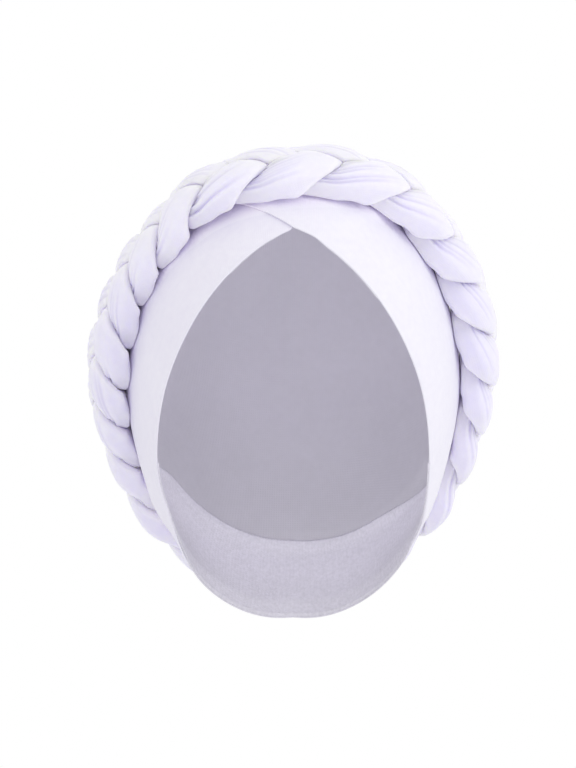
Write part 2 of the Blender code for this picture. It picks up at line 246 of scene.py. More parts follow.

# The cloths: their names, the settings that hold their colours and stitch widths, and their
# finishes. Deep is the colour of a cloth's painted shade as a share of its own colour, which is
# the painted shading colour where none is given. Stitch shade is painted shade in the furrows
# between stitches. Grain is the scale of the mottling, softness how much light soaks in.
JERSEY = {
    "name": "lavender_jersey_knit", "colour": "jersey", "pitch": "knit_pitch", "slant": 1.3,
    "roughness": 0.85, "sheen": 0.25, "mottle": 0.05, "cloud": 0.05, "stitch_shade": 0.04,
    "bump": 0.35, "grain": 260.0, "softness": 0.0,
}
BRAID = {
    **JERSEY, "name": "lavender_braid_knit", "colour": "braid", "cloud": 0.06,
    "stitch_shade": 0.03, "bump": 0.25, "softness": 0.8,
}
LINING = {
    **JERSEY, "name": "grey_lining_knit", "colour": "lining", "deep": 0.8, "slant": 1.1,
    "roughness": 0.9, "sheen": 0.1, "mottle": 0.10, "cloud": 0.14, "stitch_shade": 0.12,
    "bump": 0.3,
}
NAPE = {
    **JERSEY, "name": "nape_band_knit", "colour": "nape", "pitch": "nape_pitch", "deep": 0.72,
    "slant": 1.2, "roughness": 0.9, "sheen": 0.15, "mottle": 0.32, "cloud": 0.15,
    "stitch_shade": 0.10, "grain": 620.0,
}

# Painted shade and painted light: how far each cloth's colour goes toward its deep or pale one, and
# over which degrees
BESIDE_PAINTED_LIGHT = 1.0         # painted light next to the braid, lifting the shade there
BESIDE_START = 10.0
BESIDE_END = 14.5
LINING_SHADE = 0.55       # painted shade on the lining low down at the back
LINING_BEHIND = (80.0, 150.0)
LINING_LOW = (30.0, 80.0)
NAPE_SHADE = 0.45         # painted shade on the nape band toward the opening's edge
NAPE_LOW = (6.0, 20.0)
EDGE_SHADE = 0.15         # painted shade on the nape band where it is turned over
EDGE_SHADE_SHARES = (1.8, 0.4)   # from and to these shares of the turned width
CROSS_SHADE = 0.15        # painted shadow on the lower panel along the upper one's edge
CROSS_SHADE_WIDTH = 1.3
LEFT_SHADE = 0.06         # painted shade on the lower panel as a whole
SIDE_SHADE = 0.10         # painted shade on the braid at the sides
SIDE_FADE = (35.0, 80.0)
CREASE_SHADE = 0.50       # painted shade in the braid's creases
CLEFT_PAINTED_LIGHT = 1.2          # painted light on the braid where its strands press together

# Creases on the braid
CREASE_SEED = 11
CREASE_BULGE = 0.30       # how much of a crease's depth its sides rise
CREASE_SHOULDER = 2.3     # how many widths from its middle they rise
CREASE_OPENING = 3.2      # how soon it reaches its full depth
CREASE_CLOSING = 0.8      # how evenly it fades out again
CREASE_BEND = 0.85        # under 1 it turns across the strand early
CREASE_WIDTHS = (0.7, 0.6)       # share of its width at its start, and how much that grows
CREASE_SHADE_NARROW = 1.1
# Groups of creases in every lobe: the plait's degrees at which they start and end, the places
# round the section at which they start and end, their least and greatest widths, how many there
# may be, and their depths
CREASE_GROUPS = (
    ((22.0, 40.0), (105.0, 165.0), (15.0, 95.0), (30.0, 120.0),
     (0.0006, 0.0011), (3, 4, 4, 5), (0.0006, 0.0014)),
    ((262.0, 290.0), (340.0, 368.0), (75.0, 150.0), (60.0, 130.0),
     (0.0006, 0.0010), (3, 4, 5), (0.0005, 0.0012)),
    ((205.0, 228.0), (280.0, 320.0), (60.0, 130.0), (80.0, 150.0),
     (0.0008, 0.0013), (1, 2, 2), (0.0004, 0.0009)),
)
CREASE_SPACING = (0.25, 0.75)
CREASE_STRAY = (3.0, 5.0)        # degrees by which a crease's two ends may stray

# The camera, from the photograph's pixel scale
PHOTO_WIDTH = 576
PHOTO_HEIGHT = 768
PIXEL = 0.00048           # metres for each pixel at the wrap
FORM_PIXEL = (293.0, 372.0)
LOOK_UP = 15.0
CAMERA_DISTANCE = 1.5
SENSOR = 36.0

# The stage
FLOOR_HALF = 6.0
FLOOR_COLOUR = (0.86, 0.86, 0.87)
FLOOR_ROUGHNESS = 0.8
FLOOR_CLOUDS = 3.0
FLOOR_DEEP = 0.98
LAMPS = (                 # name, place, size and power
    ("key", (1.3, -0.85, 0.35), 0.9, 3.5),
    ("fill", (-1.1, -1.1, 0.1), 1.4, 0.1),
    ("front", (0.0, -1.1, -0.75), 1.0, 1.6),
)
LAMP_TARGET = (0.0, 0.0, -0.08)
SKY_COLOUR = (1.0, 1.0, 1.0, 1.0)
SKY_STRENGTH = 1.0
LIGHT_BOUNCES = 16
DIFFUSE_BOUNCES = 12


def narrowing(level, drop, power):
    """Share of the full size that is left below the widest level."""
    share = np.clip(-level / drop, 0.0, 0.999)
    return (1.0 - share ** power) ** (1.0 / power)


def form_level(points):
    """1 on the form, less inside it."""
    x = np.abs(points[..., 0])
    y = points[..., 1] - SLICE_BACK
    z = points[..., 2]
    depth = np.where(y < 0.0, FRONT_DEPTH, BACK_DEPTH) * narrowing(z, BACK_DROP, ROUNDNESS)
    taper = 1.0 + FACE_TAPER * np.minimum(y, 0.0) / FRONT_DEPTH
    width = HALF_WIDTH * taper * narrowing(z, SIDE_DROP, SIDE_POWER)
    rise = np.maximum(z, 0.0) / CROWN_HEIGHT
    return (x / width) ** ROUNDNESS + (np.abs(y) / depth) ** ROUNDNESS + rise ** ROUNDNESS


def form_normal(points):
    """Outward directions on the form."""
    slopes = []
    for axis in range(3):
        step = np.zeros(3)
        step[axis] = SLOPE_STEP
        slopes.append(form_level(points + step) - form_level(points - step))
    normals = np.stack(slopes, axis=-1)
    return normals / np.linalg.norm(normals, axis=-1, keepdims=True)


def pole_direction(around, down):
    """Direction from the form's centre for the two angles."""
    tilt = math.radians(POLE_TILT)
    pole = np.array([0.0, math.sin(tilt), math.cos(tilt)])
    forehead = np.array([0.0, -math.cos(tilt), math.sin(tilt)])
    side = np.array([1.0, 0.0, 0.0])
    turn = np.radians(around)[..., None]
    fall = np.radians(down)[..., None]
    return np.cos(fall) * pole + np.sin(fall) * (np.cos(turn) * forehead + np.sin(turn) * side)


def form_points(around, down):
    """Points on the form, found by halving the search along each direction."""
    around, down = np.broadcast_arrays(np.asarray(around, float), np.asarray(down, float))
    directions = pole_direction(around, down)
    low = np.zeros(around.shape)
    high = np.full(around.shape, SEARCH_RADIUS)
    for _ in range(SEARCH_STEPS):
        middle = (low + high) / 2.0
        inside = form_level(directions * middle[..., None]) < 1.0
        low = np.where(inside, middle, low)
        high = np.where(inside, high, middle)
    return directions * low[..., None]


def skin(around, down, lift=0.0):
    """Points on the wrap, lifted off the form along its outward direction."""
    points = form_points(around, down)
    lift = np.broadcast_to(np.asarray(lift, float) - edge_dent(around, down), points.shape[:-1])
    return points + form_normal(points) * lift[..., None] - SEAT


def curve_through(rows, values, places):
    """Smooth curve through a table's rows, with flat extension past both ends."""
    rows = np.asarray(rows, float)
    values = np.asarray(values, float)
    slopes = np.gradient(values, rows)
    places = np.clip(places, rows[0], rows[-1])
    left = np.clip(np.searchsorted(rows, places, side="right") - 1, 0, len(rows) - 2)
    width = rows[left + 1] - rows[left]
    share = (places - rows[left]) / width
    near = 2 * share ** 3 - 3 * share ** 2 + 1
    near_slope = share ** 3 - 2 * share ** 2 + share
    far = 1 - near
    far_slope = share ** 3 - share ** 2
    return (near * values[left] + near_slope * width * slopes[left]
            + far * values[left + 1] + far_slope * width * slopes[left + 1])


def wrapped(around):
    """The same angle between -180 and 180."""
    return (np.asarray(around, float) + 180.0) % 360.0 - 180.0


def bump_at(value, middle, width):
    """A rounded bump: 1 at the middle, falling away over the width."""
    return np.exp(-((value - middle) / width) ** 2)


def opening_edge(around):
    """Down angle of the edge of the opening."""
    return curve_through(EDGE_TABLE["around"], EDGE_TABLE["down"], np.abs(wrapped(around)))


def edge_dent(around, down):
    """How far the cloth is drawn in off the form near the opening's edge, low on both sides."""
    turn = wrapped(around)
    deep = sum(depth * bump_at(turn, place, spread) for depth, place, spread in EDGE_DENTS)
    return deep * smooth_step(down - opening_edge(around), -DENT_REACH, 0.0)


def two_sided(table, name, around):
    """Value of a table with a column for each side, joined smoothly at front and back."""
    rows = np.asarray(table["around"], float)
    right = np.asarray(table[name + "_right"], float)
    left = np.asarray(table[name + "_left"], float)
    places = np.concatenate([-rows[:0:-1], rows])
    values = np.concatenate([left[:0:-1], right])
    places = np.concatenate([places[-3:-1] - 360.0, places, places[1:3] + 360.0])
    values = np.concatenate([values[-3:-1], values, values[1:3]])
    return curve_through(places, values, wrapped(around))


def braid_down(around):
    return two_sided(BRAID_TABLE, "down", around)


def braid_size(around):
    return two_sided(BRAID_TABLE, "size", around)


def nape_edge(around):
    """Down angle of the seam between the lining and the nape band."""
    turn = wrapped(around)
    right = curve_through(NAPE_TABLE["around"], NAPE_TABLE["down_right"], np.abs(turn))
    left = curve_through(NAPE_TABLE["around"], NAPE_TABLE["down_left"], np.abs(turn))
    return np.where(turn < 0.0, left, right) + NAPE_DROP


def cross_edge(around):
    """Down angle of a panel's free edge beyond the apex of the opening."""
    turn = np.abs(wrapped(around))
    apex = EDGE_TABLE["down"][0]
    return apex - CROSS_SLOPE * turn - CROSS_BEND * turn ** 2


def smooth_step(value, start, end):
    share = np.clip((value - start) / (end - start), 0.0, 1.0)
    return share * share * (3.0 - 2.0 * share)


def cross_lift(around, down):
    """How far the upper panel is lifted by the lower one near the crossing."""
    past_edge = down - cross_edge(around)
    return CROSS_STEP * (1.0 - smooth_step(past_edge, CROSS_FLAT, CROSS_FADE))


def turned_over(around):
    """1 at the back of the opening, where the nape band is turned over the panels' edge, else 0."""
    turn = np.mod(around, 360.0)
    return smooth_step(turn, *TURN_START) * (1.0 - smooth_step(turn, *TURN_END))


def lining_depth(around, down):
    """Depth of the lining's outer face: under the crown it lies deeper than under the panels."""
    past_crown = down - braid_down(around) - CROWN_EDGE
    rise = smooth_step(past_crown, LINING_STEP_START, LINING_STEP_END)
    return UNDER_CROWN + (UNDER_PANEL - UNDER_CROWN) * rise


def soft_noise(around, down, waves):
    """Slow uneven waves between about -1 and 1, the same each run."""
    spacing_around, spacing_down, seed = waves
    first = around / spacing_around
    second = down / spacing_down
    picker = random.Random(seed)
    total = np.zeros(np.broadcast(first, second).shape)
    for _ in range(NOISE_WAVES):
        along = picker.uniform(-1.0, 1.0)
        across = picker.uniform(-1.0, 1.0)
        total = total + np.sin(along * first + across * second + picker.uniform(0.0, math.tau))
    return total / math.sqrt(NOISE_WAVES)


# Mesh making

def grid_faces(rows, columns, wrap_rows, wrap_columns):
    """Corner numbers of the quads between rows and columns of points."""
    row = np.arange(rows if wrap_rows else rows - 1)[:, None]
    column = np.arange(columns if wrap_columns else columns - 1)[None, :]
    next_row = (row + 1) % rows
    next_column = (column + 1) % columns
    upper = row * columns + column
    lower = next_row * columns + column
    lower_after = next_row * columns + next_column
    upper_after = row * columns + next_column
    return np.stack([upper, lower, lower_after, upper_after], axis=-1).reshape(-1, 4)


def placed(name, data):
    """A new object in the scene."""
    made = bpy.data.objects.new(name, data)
    bpy.context.scene.collection.objects.link(made)
    return made


def new_mesh_object(name, points, faces, places, creases, material):
    """An object with its knit coordinates and its values of painted shade and painted light stored on
    its points or corners.
    """
    mesh = bpy.data.meshes.new(name)
    mesh.from_pydata(points.tolist(), [], faces)
    mesh.shade_smooth()
    mesh.materials.append(material)
    layer = mesh.uv_layers.new(name="knit")
    layer.uv.foreach_set("vector", np.asarray(places, np.float32).ravel())
    crease = mesh.attributes.new("crease", "FLOAT", "POINT")
    crease.data.foreach_set("value", np.asarray(creases, np.float32))
    return placed(name, mesh)


def corner_places(faces, places):
    """Knit coordinates for each face corner, from those of the points."""
    return np.concatenate([places[list(face)] for face in faces])


def strand_places(rows, columns, length, girth):
    """Knit coordinates of each quad's corners, going on past a join instead of jumping back."""
    row, column = np.broadcast_arrays(np.arange(rows)[:, None], np.arange(columns)[None, :])
    corners = ((row, column), (row + 1, column), (row + 1, column + 1), (row, column + 1))
    stacked = [np.stack([c * girth / columns, r * length / rows], axis=-1) for r, c in corners]
    return np.stack(stacked, axis=2).reshape(-1, 2)


def shell_profile(top, bottom, wall, lift):
    """Rows of down angles and lifts round a cloth wall: down its outer face, round the folded
    edge and back up its inner face."""
    radius = wall(bottom[None, :]) / 2.0
    turn = np.degrees(radius / MEAN_RADIUS)
    share = 1.0 - (1.0 - np.linspace(0.0, 1.0, OUTER_ROWS)[:, None]) ** ROW_CROWDING
    face = top[None, :] + share * (bottom - top - turn)
    rim = np.radians(np.linspace(90.0, -90.0, RIM_ROWS + 2)[1:-1])[:, None]
    edge = bottom - turn + turn * np.cos(rim)
    outer = lift(face)
    round_edge = lift(bottom - turn) - radius + radius * np.sin(rim)
    down = np.concatenate([face, edge, face[::-1]])
    height = np.concatenate([outer, round_edge, (outer - wall(face))[::-1]])
    return down, height


def make_shell_band(name, around, top, bottom, wall, lift, material, shade):
    """A closed wall of cloth between two edges, from one end to the other."""
    down, height = shell_profile(top, bottom, wall, lift)
    turn = np.broadcast_to(around, down.shape)
    points = skin(turn, down, height)
    rows, columns = down.shape
    faces = grid_faces(rows, columns, True, False)
    ends = []
    half = OUTER_ROWS + RIM_ROWS
    for column in (0, columns - 1):
        for row in range(OUTER_ROWS - 1):
            inner = rows - 1 - row
            quad = [row * columns + column, (row + 1) * columns + column,
                    (inner - 1) * columns + column, inner * columns + column]
            ends.append(quad if column else quad[::-1])
        rim = [r * columns + column for r in range(OUTER_ROWS - 1, half + 1)]
        ends.append(rim if column else rim[::-1])
    faces = faces.tolist() + ends
    places = np.stack([turn * KNIT_SCALE, down * KNIT_SCALE], axis=-1).reshape(-1, 2)
    # Painted shade and painted light values of the band's points
    creases = shade(turn, down).ravel()
    return new_mesh_object(name, points.reshape(-1, 3), faces,
                           corner_places(faces, places), creases, material)


def make_shell_dome(name, edge, wall, lift, material, shade):
    """A closed cap of cloth from the pole down to its edge."""
    columns = int(round(360.0 / SHELL_STEP))
    around = np.arange(columns) * 360.0 / columns
    bottom = edge(around)
    first = np.full(columns, SHELL_STEP)

    def lift_here(down):
        return lift(np.broadcast_to(around, down.shape), down)

    def wall_here(down):
        return wall(np.broadcast_to(around, down.shape), down)

    down, height = shell_profile(first, bottom, wall_here, lift_here)
    turn = np.broadcast_to(around, down.shape)
    points = skin(turn, down, height)
    rows = len(down)
    none = np.zeros(1)
    poles = [skin(0.0, 0.0, lift(none, none)[0] - extra) for extra in (0.0, wall(none, none)[0])]
    faces = grid_faces(rows, columns, False, True).tolist()
    count = rows * columns
    last = (rows - 1) * columns
    for column in range(columns):
        after = (column + 1) % columns
        faces.append([count, column, after])
        faces.append([count + 1, last + after, last + column])
    flat = np.stack([np.sin(np.radians(turn)), np.cos(np.radians(turn))], axis=-1)
    places = (flat * (down * KNIT_SCALE)[..., None]).reshape(-1, 2)
    places = np.vstack([places, np.zeros((2, 2))])
    # Painted shade and painted light values of the dome's points
    creases = shade(turn, down).ravel()
    points = np.vstack([points.reshape(-1, 3), poles])
    return new_mesh_object(name, points, faces, corner_places(faces, places),
                           np.concatenate([creases, np.zeros(2)]), material)


# Materials

def new_node(tree, kind, **values):
    made = tree.nodes.new(kind)
    for key, value in values.items():
        setattr(made, key, value)
    return made


def feed(tree, socket, value):
    """Gives a socket a link, a number or a colour."""
    if isinstance(value, bpy.types.NodeSocket):
        tree.links.new(value, socket)
    else:
        socket.default_value = value


def math_node(tree, operation, *values):
    made = new_node(tree, "ShaderNodeMath", operation=operation)
    for socket, value in zip(made.inputs, values):
        feed(tree, socket, value)
    return made.outputs[0]


def mix_node(tree, factor, first, second):
    """A colour between two others."""
    made = new_node(tree, "ShaderNodeMix", data_type="RGBA")
    for name, value in (("Factor", factor), ("A", first), ("B", second)):
        feed(tree, made.inputs[name], value)
    return made.outputs["Result"]


def noise_node(tree, scale, detail):
    """Uneven spots laid out in the object's own space."""
    place = new_node(tree, "ShaderNodeTexCoord")
    made = new_node(tree, "ShaderNodeTexNoise")
    made.inputs["Scale"].default_value = scale
    made.inputs["Detail"].default_value = detail
    tree.links.new(place.outputs["Object"], made.inputs["Vector"])
    return made.outputs[0]


def new_material(name, values):
    """A material with values set on its shader's own sockets."""
    material = bpy.data.materials.new(name)
    material.use_nodes = True
    shader = material.node_tree.nodes["Principled BSDF"]
    for socket, value in values.items():
        shader.inputs[socket].default_value = value
    return material, material.node_tree, shader


def knit_height(tree, pitch, slant):
    """Height of a jersey knit from its coordinates: columns of V stitches."""
    place = new_node(tree, "ShaderNodeUVMap", uv_map="knit")
    split = new_node(tree, "ShaderNodeSeparateXYZ")
    tree.links.new(place.outputs[0], split.inputs[0])
    across = math_node(tree, "DIVIDE", split.outputs[0], pitch)
    along = math_node(tree, "DIVIDE", split.outputs[1], pitch * COURSE_SHARE)
    from_middle = math_node(tree, "SUBTRACT", math_node(tree, "FRACT", across), 0.5)
    from_middle = math_node(tree, "ABSOLUTE", from_middle)
    wale = math_node(tree, "MULTIPLY", from_middle, 2.0)
    wale = math_node(tree, "SUBTRACT", 1.0, math_node(tree, "POWER", wale, 2.0))
    leaning = math_node(tree, "ADD", along, math_node(tree, "MULTIPLY", from_middle, slant))
    row = math_node(tree, "SINE", math_node(tree, "MULTIPLY", leaning, math.tau))
    row = math_node(tree, "ADD", math_node(tree, "MULTIPLY", row, 0.5), 0.5)
    return math_node(tree, "ADD", math_node(tree, "MULTIPLY", wale, WALE_SHARE),
                     math_node(tree, "MULTIPLY", row, 1.0 - WALE_SHARE))


def cloth_material(context, cloth):
    """A knitted cloth: its stitches with painted shade in their furrows, soft mottling, painted shade
    and painted light from the values on its points, light soaking in, and a matt, slightly furry
    face. A value over 0 goes toward the painted shade colour and one under 0 toward the painted light
    colour."""
    found = bpy.data.materials.get(cloth["name"])
    if found:
        return found
    sizes, colours = settings(context)
    colour = getattr(colours, cloth["colour"])
    painted_shade_colour = colours.crease
    if "deep" in cloth:
        painted_shade_colour = [cloth["deep"] * value for value in colour]
    material, tree, shader = new_material(cloth["name"], {
        "Roughness": cloth["roughness"],
        "Sheen Weight": cloth["sheen"],
        "Sheen Roughness": SHEEN_ROUGHNESS,
        "Specular IOR Level": SPECULAR_LEVEL,
        "Subsurface Weight": cloth["softness"],
        "Subsurface Radius": SOAK_SHARES,
        "Subsurface Scale": SOAK_DEPTH,
    })
    stitches = knit_height(tree, getattr(sizes, cloth["pitch"]), cloth["slant"])
    mottle = noise_node(tree, cloth["grain"], MOTTLE_DETAIL)
    cloud = noise_node(tree, CLOUD_SCALE, CLOUD_DETAIL)
    crease = new_node(tree, "ShaderNodeAttribute", attribute_name="crease").outputs["Fac"]

    spots = []
    for noise, amount in ((mottle, cloth["mottle"]), (cloud, cloth["cloud"])):
        stronger = math_node(tree, "MULTIPLY", noise, NOISE_GAIN)
        stronger = math_node(tree, "SUBTRACT", stronger, 1.0)
        spots.append(math_node(tree, "MULTIPLY", stronger, amount))
    # Painted shade in the furrows between the stitches
    low = math_node(tree, "SUBTRACT", 1.0, stitches)
    low = math_node(tree, "MULTIPLY", low, cloth["stitch_shade"])
    dark = math_node(tree, "ADD", math_node(tree, "ADD", *spots), low)
    # Painted shade where a point's value is over 0
    dark = math_node(tree, "ADD", dark, crease)
    shown = mix_node(tree, dark, (*colour, 1.0), (*painted_shade_colour, 1.0))
    # Painted light where a point's value is under 0
    pale = math_node(tree, "MULTIPLY", crease, -1.0)
    shown = mix_node(tree, pale, shown, (*PAINTED_LIGHT_COLOUR, 1.0))
    tree.links.new(shown, shader.inputs["Base Color"])

    grain = math_node(tree, "MULTIPLY", mottle, MOTTLE_RELIEF)
    bump = new_node(tree, "ShaderNodeBump")
    bump.inputs["Strength"].default_value = cloth["bump"]
    bump.inputs["Distance"].default_value = sizes.stitch_depth
    tree.links.new(math_node(tree, "ADD", stitches, grain), bump.inputs["Height"])
    tree.links.new(bump.outputs["Normal"], shader.inputs["Normal"])
    return material


def floor_material():
    material, tree, shader = new_material("pale_floor", {"Roughness": FLOOR_ROUGHNESS})
    noise = new_node(tree, "ShaderNodeTexNoise")
    noise.inputs["Scale"].default_value = FLOOR_CLOUDS
    deep = [FLOOR_DEEP * value for value in FLOOR_COLOUR]
    shown = mix_node(tree, noise.outputs[0], (*FLOOR_COLOUR, 1.0), (*deep, 1.0))
    tree.links.new(shown, shader.inputs["Base Color"])
    return material


# The braid's strands

def braid_seat(around):
    """Height of the cloth under the braid over the form."""
    lifts = [cross_lift(around, braid_down(around) + offset) for offset in (PANEL_TOP, 0.0, -PANEL_TOP)]
    return np.max(lifts, axis=0) + SEAT_GAP


def strand_phase(number, around):
    even = around - two_sided(BRAID_TABLE, "shift", around)
    return PERIODS * even + PHASE_START + 360.0 * number / STRANDS


def strand_line(number, samples):
    """Middle line of one strand: its points and outward directions, its height over the cloth it
    lies on, and its size."""
    around = np.arange(samples) * 360.0 / samples
    phase = np.radians(strand_phase(number, around))
    size = braid_size(around)
    sideways = SWING * size * np.sin(phase)
    rise = -WEAVE * size * np.tanh(WEAVE_FIRMNESS * np.sin(2.0 * phase)) / math.tanh(WEAVE_FIRMNESS)
    roll = math.radians(ROLL)
    across = sideways * math.cos(roll) + rise * math.sin(roll)
    height = MIDDLE * size + rise * math.cos(roll) - sideways * math.sin(roll)
    middle = braid_down(around)
    radius = np.linalg.norm(form_points(around, middle), axis=-1)
    down = middle + np.degrees(across / radius)
    points = skin(around, down, braid_seat(around) + height)
    normals = form_normal(form_points(around, down))
    return points, normals, height, size


def phase_bump(phase, middle, spread):
    """A bump round one phase of the plait, the same in every period."""
    return bump_at(wrapped(phase - middle), 0.0, spread)


def edge_shares(phase):
    """How much of its half width a strand keeps on its face side and on its crown side, and how
    much of its height. Toward the crown it bulges as it dives and is flat as it comes out, which
    keeps the plait's outline even."""
    face = 1.0 - EMERGE_NARROW * phase_bump(phase, EMERGE_PHASE, EMERGE_SPREAD)
    bulge = phase_bump(phase, DIVE_PHASE, DIVE_SPREAD)
    flat = phase_bump(phase, OUTER_PHASE, OUTER_SPREAD)
    crown = 1.0 + DIVE_WIDEN * bulge - OUTER_FLATTEN * flat
    high = 1.0 + DIVE_RAISE * bulge - OUTER_LOWER * flat
    return face, crown, high


def pressed_shares(reach, floor_height, normal, offsets):
    """Shares of a strand's full reach, for all corners of a section, that its neighbours and the
    cloth below leave it."""
    along = reach @ normal
    stretched = reach + (HEIGHT_STRETCH - 1.0) * along[:, None] * normal
    length = np.linalg.norm(stretched, axis=1)
    toward = (stretched / length[:, None]) @ offsets.T + STRAND_GAP
    squared = np.sum(offsets ** 2, axis=1) - STRAND_GAP ** 2
    limits = np.where(toward > 0.0, squared / (2.0 * np.maximum(toward, TINY)), 1.0)
    share = np.minimum(1.0, limits.min(axis=1) / length)
    lower = along < -TINY
    share[lower] = np.minimum(share[lower], floor_height / -along[lower])
    return share


def strand_sections(number, sections, sides):
    """Middle line of one strand, the full reach of each section's corners from it, and the share
    of that reach which they keep."""
    points, normals, heights, sizes = strand_line(number, sections)
    others = [strand_line(other, NEIGHBOUR_SAMPLES)[0] for other in range(STRANDS) if other != number]
    neighbours = np.vstack(others)
    tangents = np.roll(points, -1, axis=0) - np.roll(points, 1, axis=0)
    tangents /= np.linalg.norm(tangents, axis=1, keepdims=True)
    angles = np.arange(sides) * math.tau / sides
    power = np.where(np.sin(angles) > 0.0, TOP_POWER, BASE_POWER)
    full = (np.abs(np.cos(angles)) ** power + np.abs(np.sin(angles)) ** power) ** (-1.0 / power)
    phase = strand_phase(number, np.arange(sections) * 360.0 / sections)
    face_share, crown_share, high_share = edge_shares(phase)
    reaches = np.zeros((sections, sides, 3))
    shares = np.zeros((sections, sides))
    for index in range(sections):
        normal, tangent = normals[index], tangents[index]
        up = normal - tangent * (normal @ tangent)
        up /= np.linalg.norm(up)
        side = np.cross(tangent, up)
        offsets = neighbours - points[index]
        offsets = offsets[np.linalg.norm(offsets, axis=1) < NEAR_STRAND]
        offsets = offsets + (HEIGHT_STRETCH - 1.0) * (offsets @ normal)[:, None] * normal
        above = STRAND_HALF_HEIGHT * sizes[index] * high_share[index]
        below = max(above, heights[index])
        tall = np.where(np.sin(angles) > 0.0, above, below)
        wide = STRAND_HALF_WIDTH * sizes[index] * np.where(
            np.cos(angles) > 0.0, face_share[index], crown_share[index])
        reach = (side * (np.cos(angles) * wide * full)[:, None]
                 + up * (np.sin(angles) * tall * full)[:, None])
        reaches[index] = reach
        shares[index] = pressed_shares(reach, heights[index], normal, offsets)
    return points, reaches, shares


def softened(values, times):
    """Evens out values over a grid that joins itself both ways."""
    for _ in range(times):
        for axis in (0, 1):
            values = (np.roll(values, 1, axis) + 2.0 * values + np.roll(values, -1, axis)) / 4.0
    return values


def grid_normals(points, middles):
    """Outward directions of a closed grid of points."""
    along = np.roll(points, -1, 0) - np.roll(points, 1, 0)
    round_it = np.roll(points, -1, 1) - np.roll(points, 1, 1)
    normals = np.cross(along, round_it)
    normals /= np.maximum(np.linalg.norm(normals, axis=-1, keepdims=True), TINY)
    outward = np.sum(normals * (points - middles[:, None, :]), axis=-1)
    return normals * np.sign(outward.sum())


def crease_lines(number):
    """The creases of one strand: where each starts and ends along the plait, and across the strand."""
    picker = random.Random(CREASE_SEED + number)
    lines = []
    for turn in range(PERIODS + 1):
        base = turn * 360.0
        for first, last, low, high, widths, counts, depths in CREASE_GROUPS:
            count = picker.choice(counts)
            for order in range(count):
                spread = (order + picker.uniform(*CREASE_SPACING)) / count
                start = base + picker.uniform(*first)
                end = base + picker.uniform(*last)
                start_stray, end_stray = [picker.uniform(-stray, stray) for stray in CREASE_STRAY]
                lines.append({
                    "start": start,
                    "end": end,
                    "from": low[0] + (low[1] - low[0]) * spread + start_stray,
                    "to": high[0] + (high[1] - high[0]) * spread + end_stray,
                    "depth": picker.uniform(*depths),
                    "width": picker.uniform(*widths),
                })
    return lines


def creased(number, points, middles):
    """The strand's points with its creases pressed in, and how deep each point lies in one, which sets
    the painted shade there.
    """
    sections, sides = points.shape[:2]
    around = np.arange(sections) * 360.0 / sections
    phase = strand_phase(number, around)
    phase_base = math.floor(phase[0] / 360.0) * 360.0
    steps = np.linalg.norm(np.roll(points, -1, 1) - points, axis=-1)
    arc = np.concatenate([np.zeros((sections, 1)), np.cumsum(steps, axis=1)[:, :-1]], axis=1)
    degrees = np.arange(sides) * 360.0 / sides
    depth = np.zeros((sections, sides))
    shade = np.zeros((sections, sides))
    total = PERIODS * 360.0
    at_start, growth = CREASE_WIDTHS
    for line in crease_lines(number):
        run = (phase - phase_base - line["start"]) % total
        share = run / (line["end"] - line["start"])
        rows = np.nonzero(share < 1.0)[0]
        if not len(rows):
            continue
        share = share[rows]
        window = np.minimum(1.0, CREASE_OPENING * share) * (1.0 - share) ** CREASE_CLOSING
        centre = line["from"] + (line["to"] - line["from"]) * share ** CREASE_BEND
        at = np.array([np.interp(c, degrees, arc[r]) for c, r in zip(centre, rows)])
        away = (arc[rows] - at[:, None]) / (line["width"] * (at_start + growth * share))[:, None]
        valley = np.exp(-away ** 2)
        sides_up = CREASE_BULGE * np.exp(-(np.abs(away) - CREASE_SHOULDER) ** 2)
        depth[rows] += line["depth"] * window[:, None] * (valley - sides_up)
        shown = window[:, None] * np.exp(-(away * CREASE_SHADE_NARROW) ** 2)
        shade[rows] = np.maximum(shade[rows], shown)
    normals = grid_normals(points, middles)
    return points - normals * depth[..., None], shade


def make_strand(number, material):
    sections = STRAND_SECTIONS
    sides = STRAND_SIDES
    middles, reaches, shares = strand_sections(number, sections, sides)
    shares = softened(shares, SHAPE_SOFTENING)
    points = middles[:, None, :] + reaches * shares[..., None]
    pressed = 1.0 - smooth_step(shares, PRESSED_SHARE, 1.0)
    points, shade = creased(number, points, middles)
    faces = grid_faces(sections, sides, True, True).tolist()
    length = np.linalg.norm(np.roll(middles, -1, 0) - middles, axis=1).sum()
    girth = 2.0 * math.pi * (STRAND_HALF_WIDTH + STRAND_HALF_HEIGHT) / 2.0
    places = strand_places(sections, sides, length, girth)
    # Painted light in the clefts where the strands press together, painted shade in the creases and on
    # the braid's sides
    pale = np.minimum(CLEFT_PAINTED_LIGHT * softened(pressed, PALE_SOFTENING), 1.0)
    turn = np.abs(wrapped(np.arange(sections) * 360.0 / sections))
    at_side = (SIDE_SHADE * smooth_step(turn, *SIDE_FADE))[:, None]
    dark = CREASE_SHADE * shade - pale * (1.0 - shade) + at_side * (1.0 - pale)
    return new_mesh_object("braid_cloth_" + str(number + 1), points.reshape(-1, 3), faces,
                           places, dark.ravel(), material)


# Settings that a user may change

class WrapSizes(bpy.types.PropertyGroup):
    knit_pitch: bpy.props.FloatProperty(
        name="Knit pitch", description="Distance between two columns of stitches in the outer jersey",
        default=0.0011, min=0.0004, max=0.005, unit="LENGTH")
    nape_pitch: bpy.props.FloatProperty(
        name="Nape knit pitch", description="Distance between two columns of stitches in the nape band",
        default=0.0014, min=0.0004, max=0.005, unit="LENGTH")
    stitch_depth: bpy.props.FloatProperty(
        name="Stitch depth", description="How deep the furrows between the stitches are",
        default=0.0003, min=0.0, max=0.002, unit="LENGTH")
    floor_drop: bpy.props.FloatProperty(
        name="Floor drop", description="Distance from the wrap's lowest point down to the floor",
        default=0.42, min=0.02, max=2.0, unit="LENGTH")


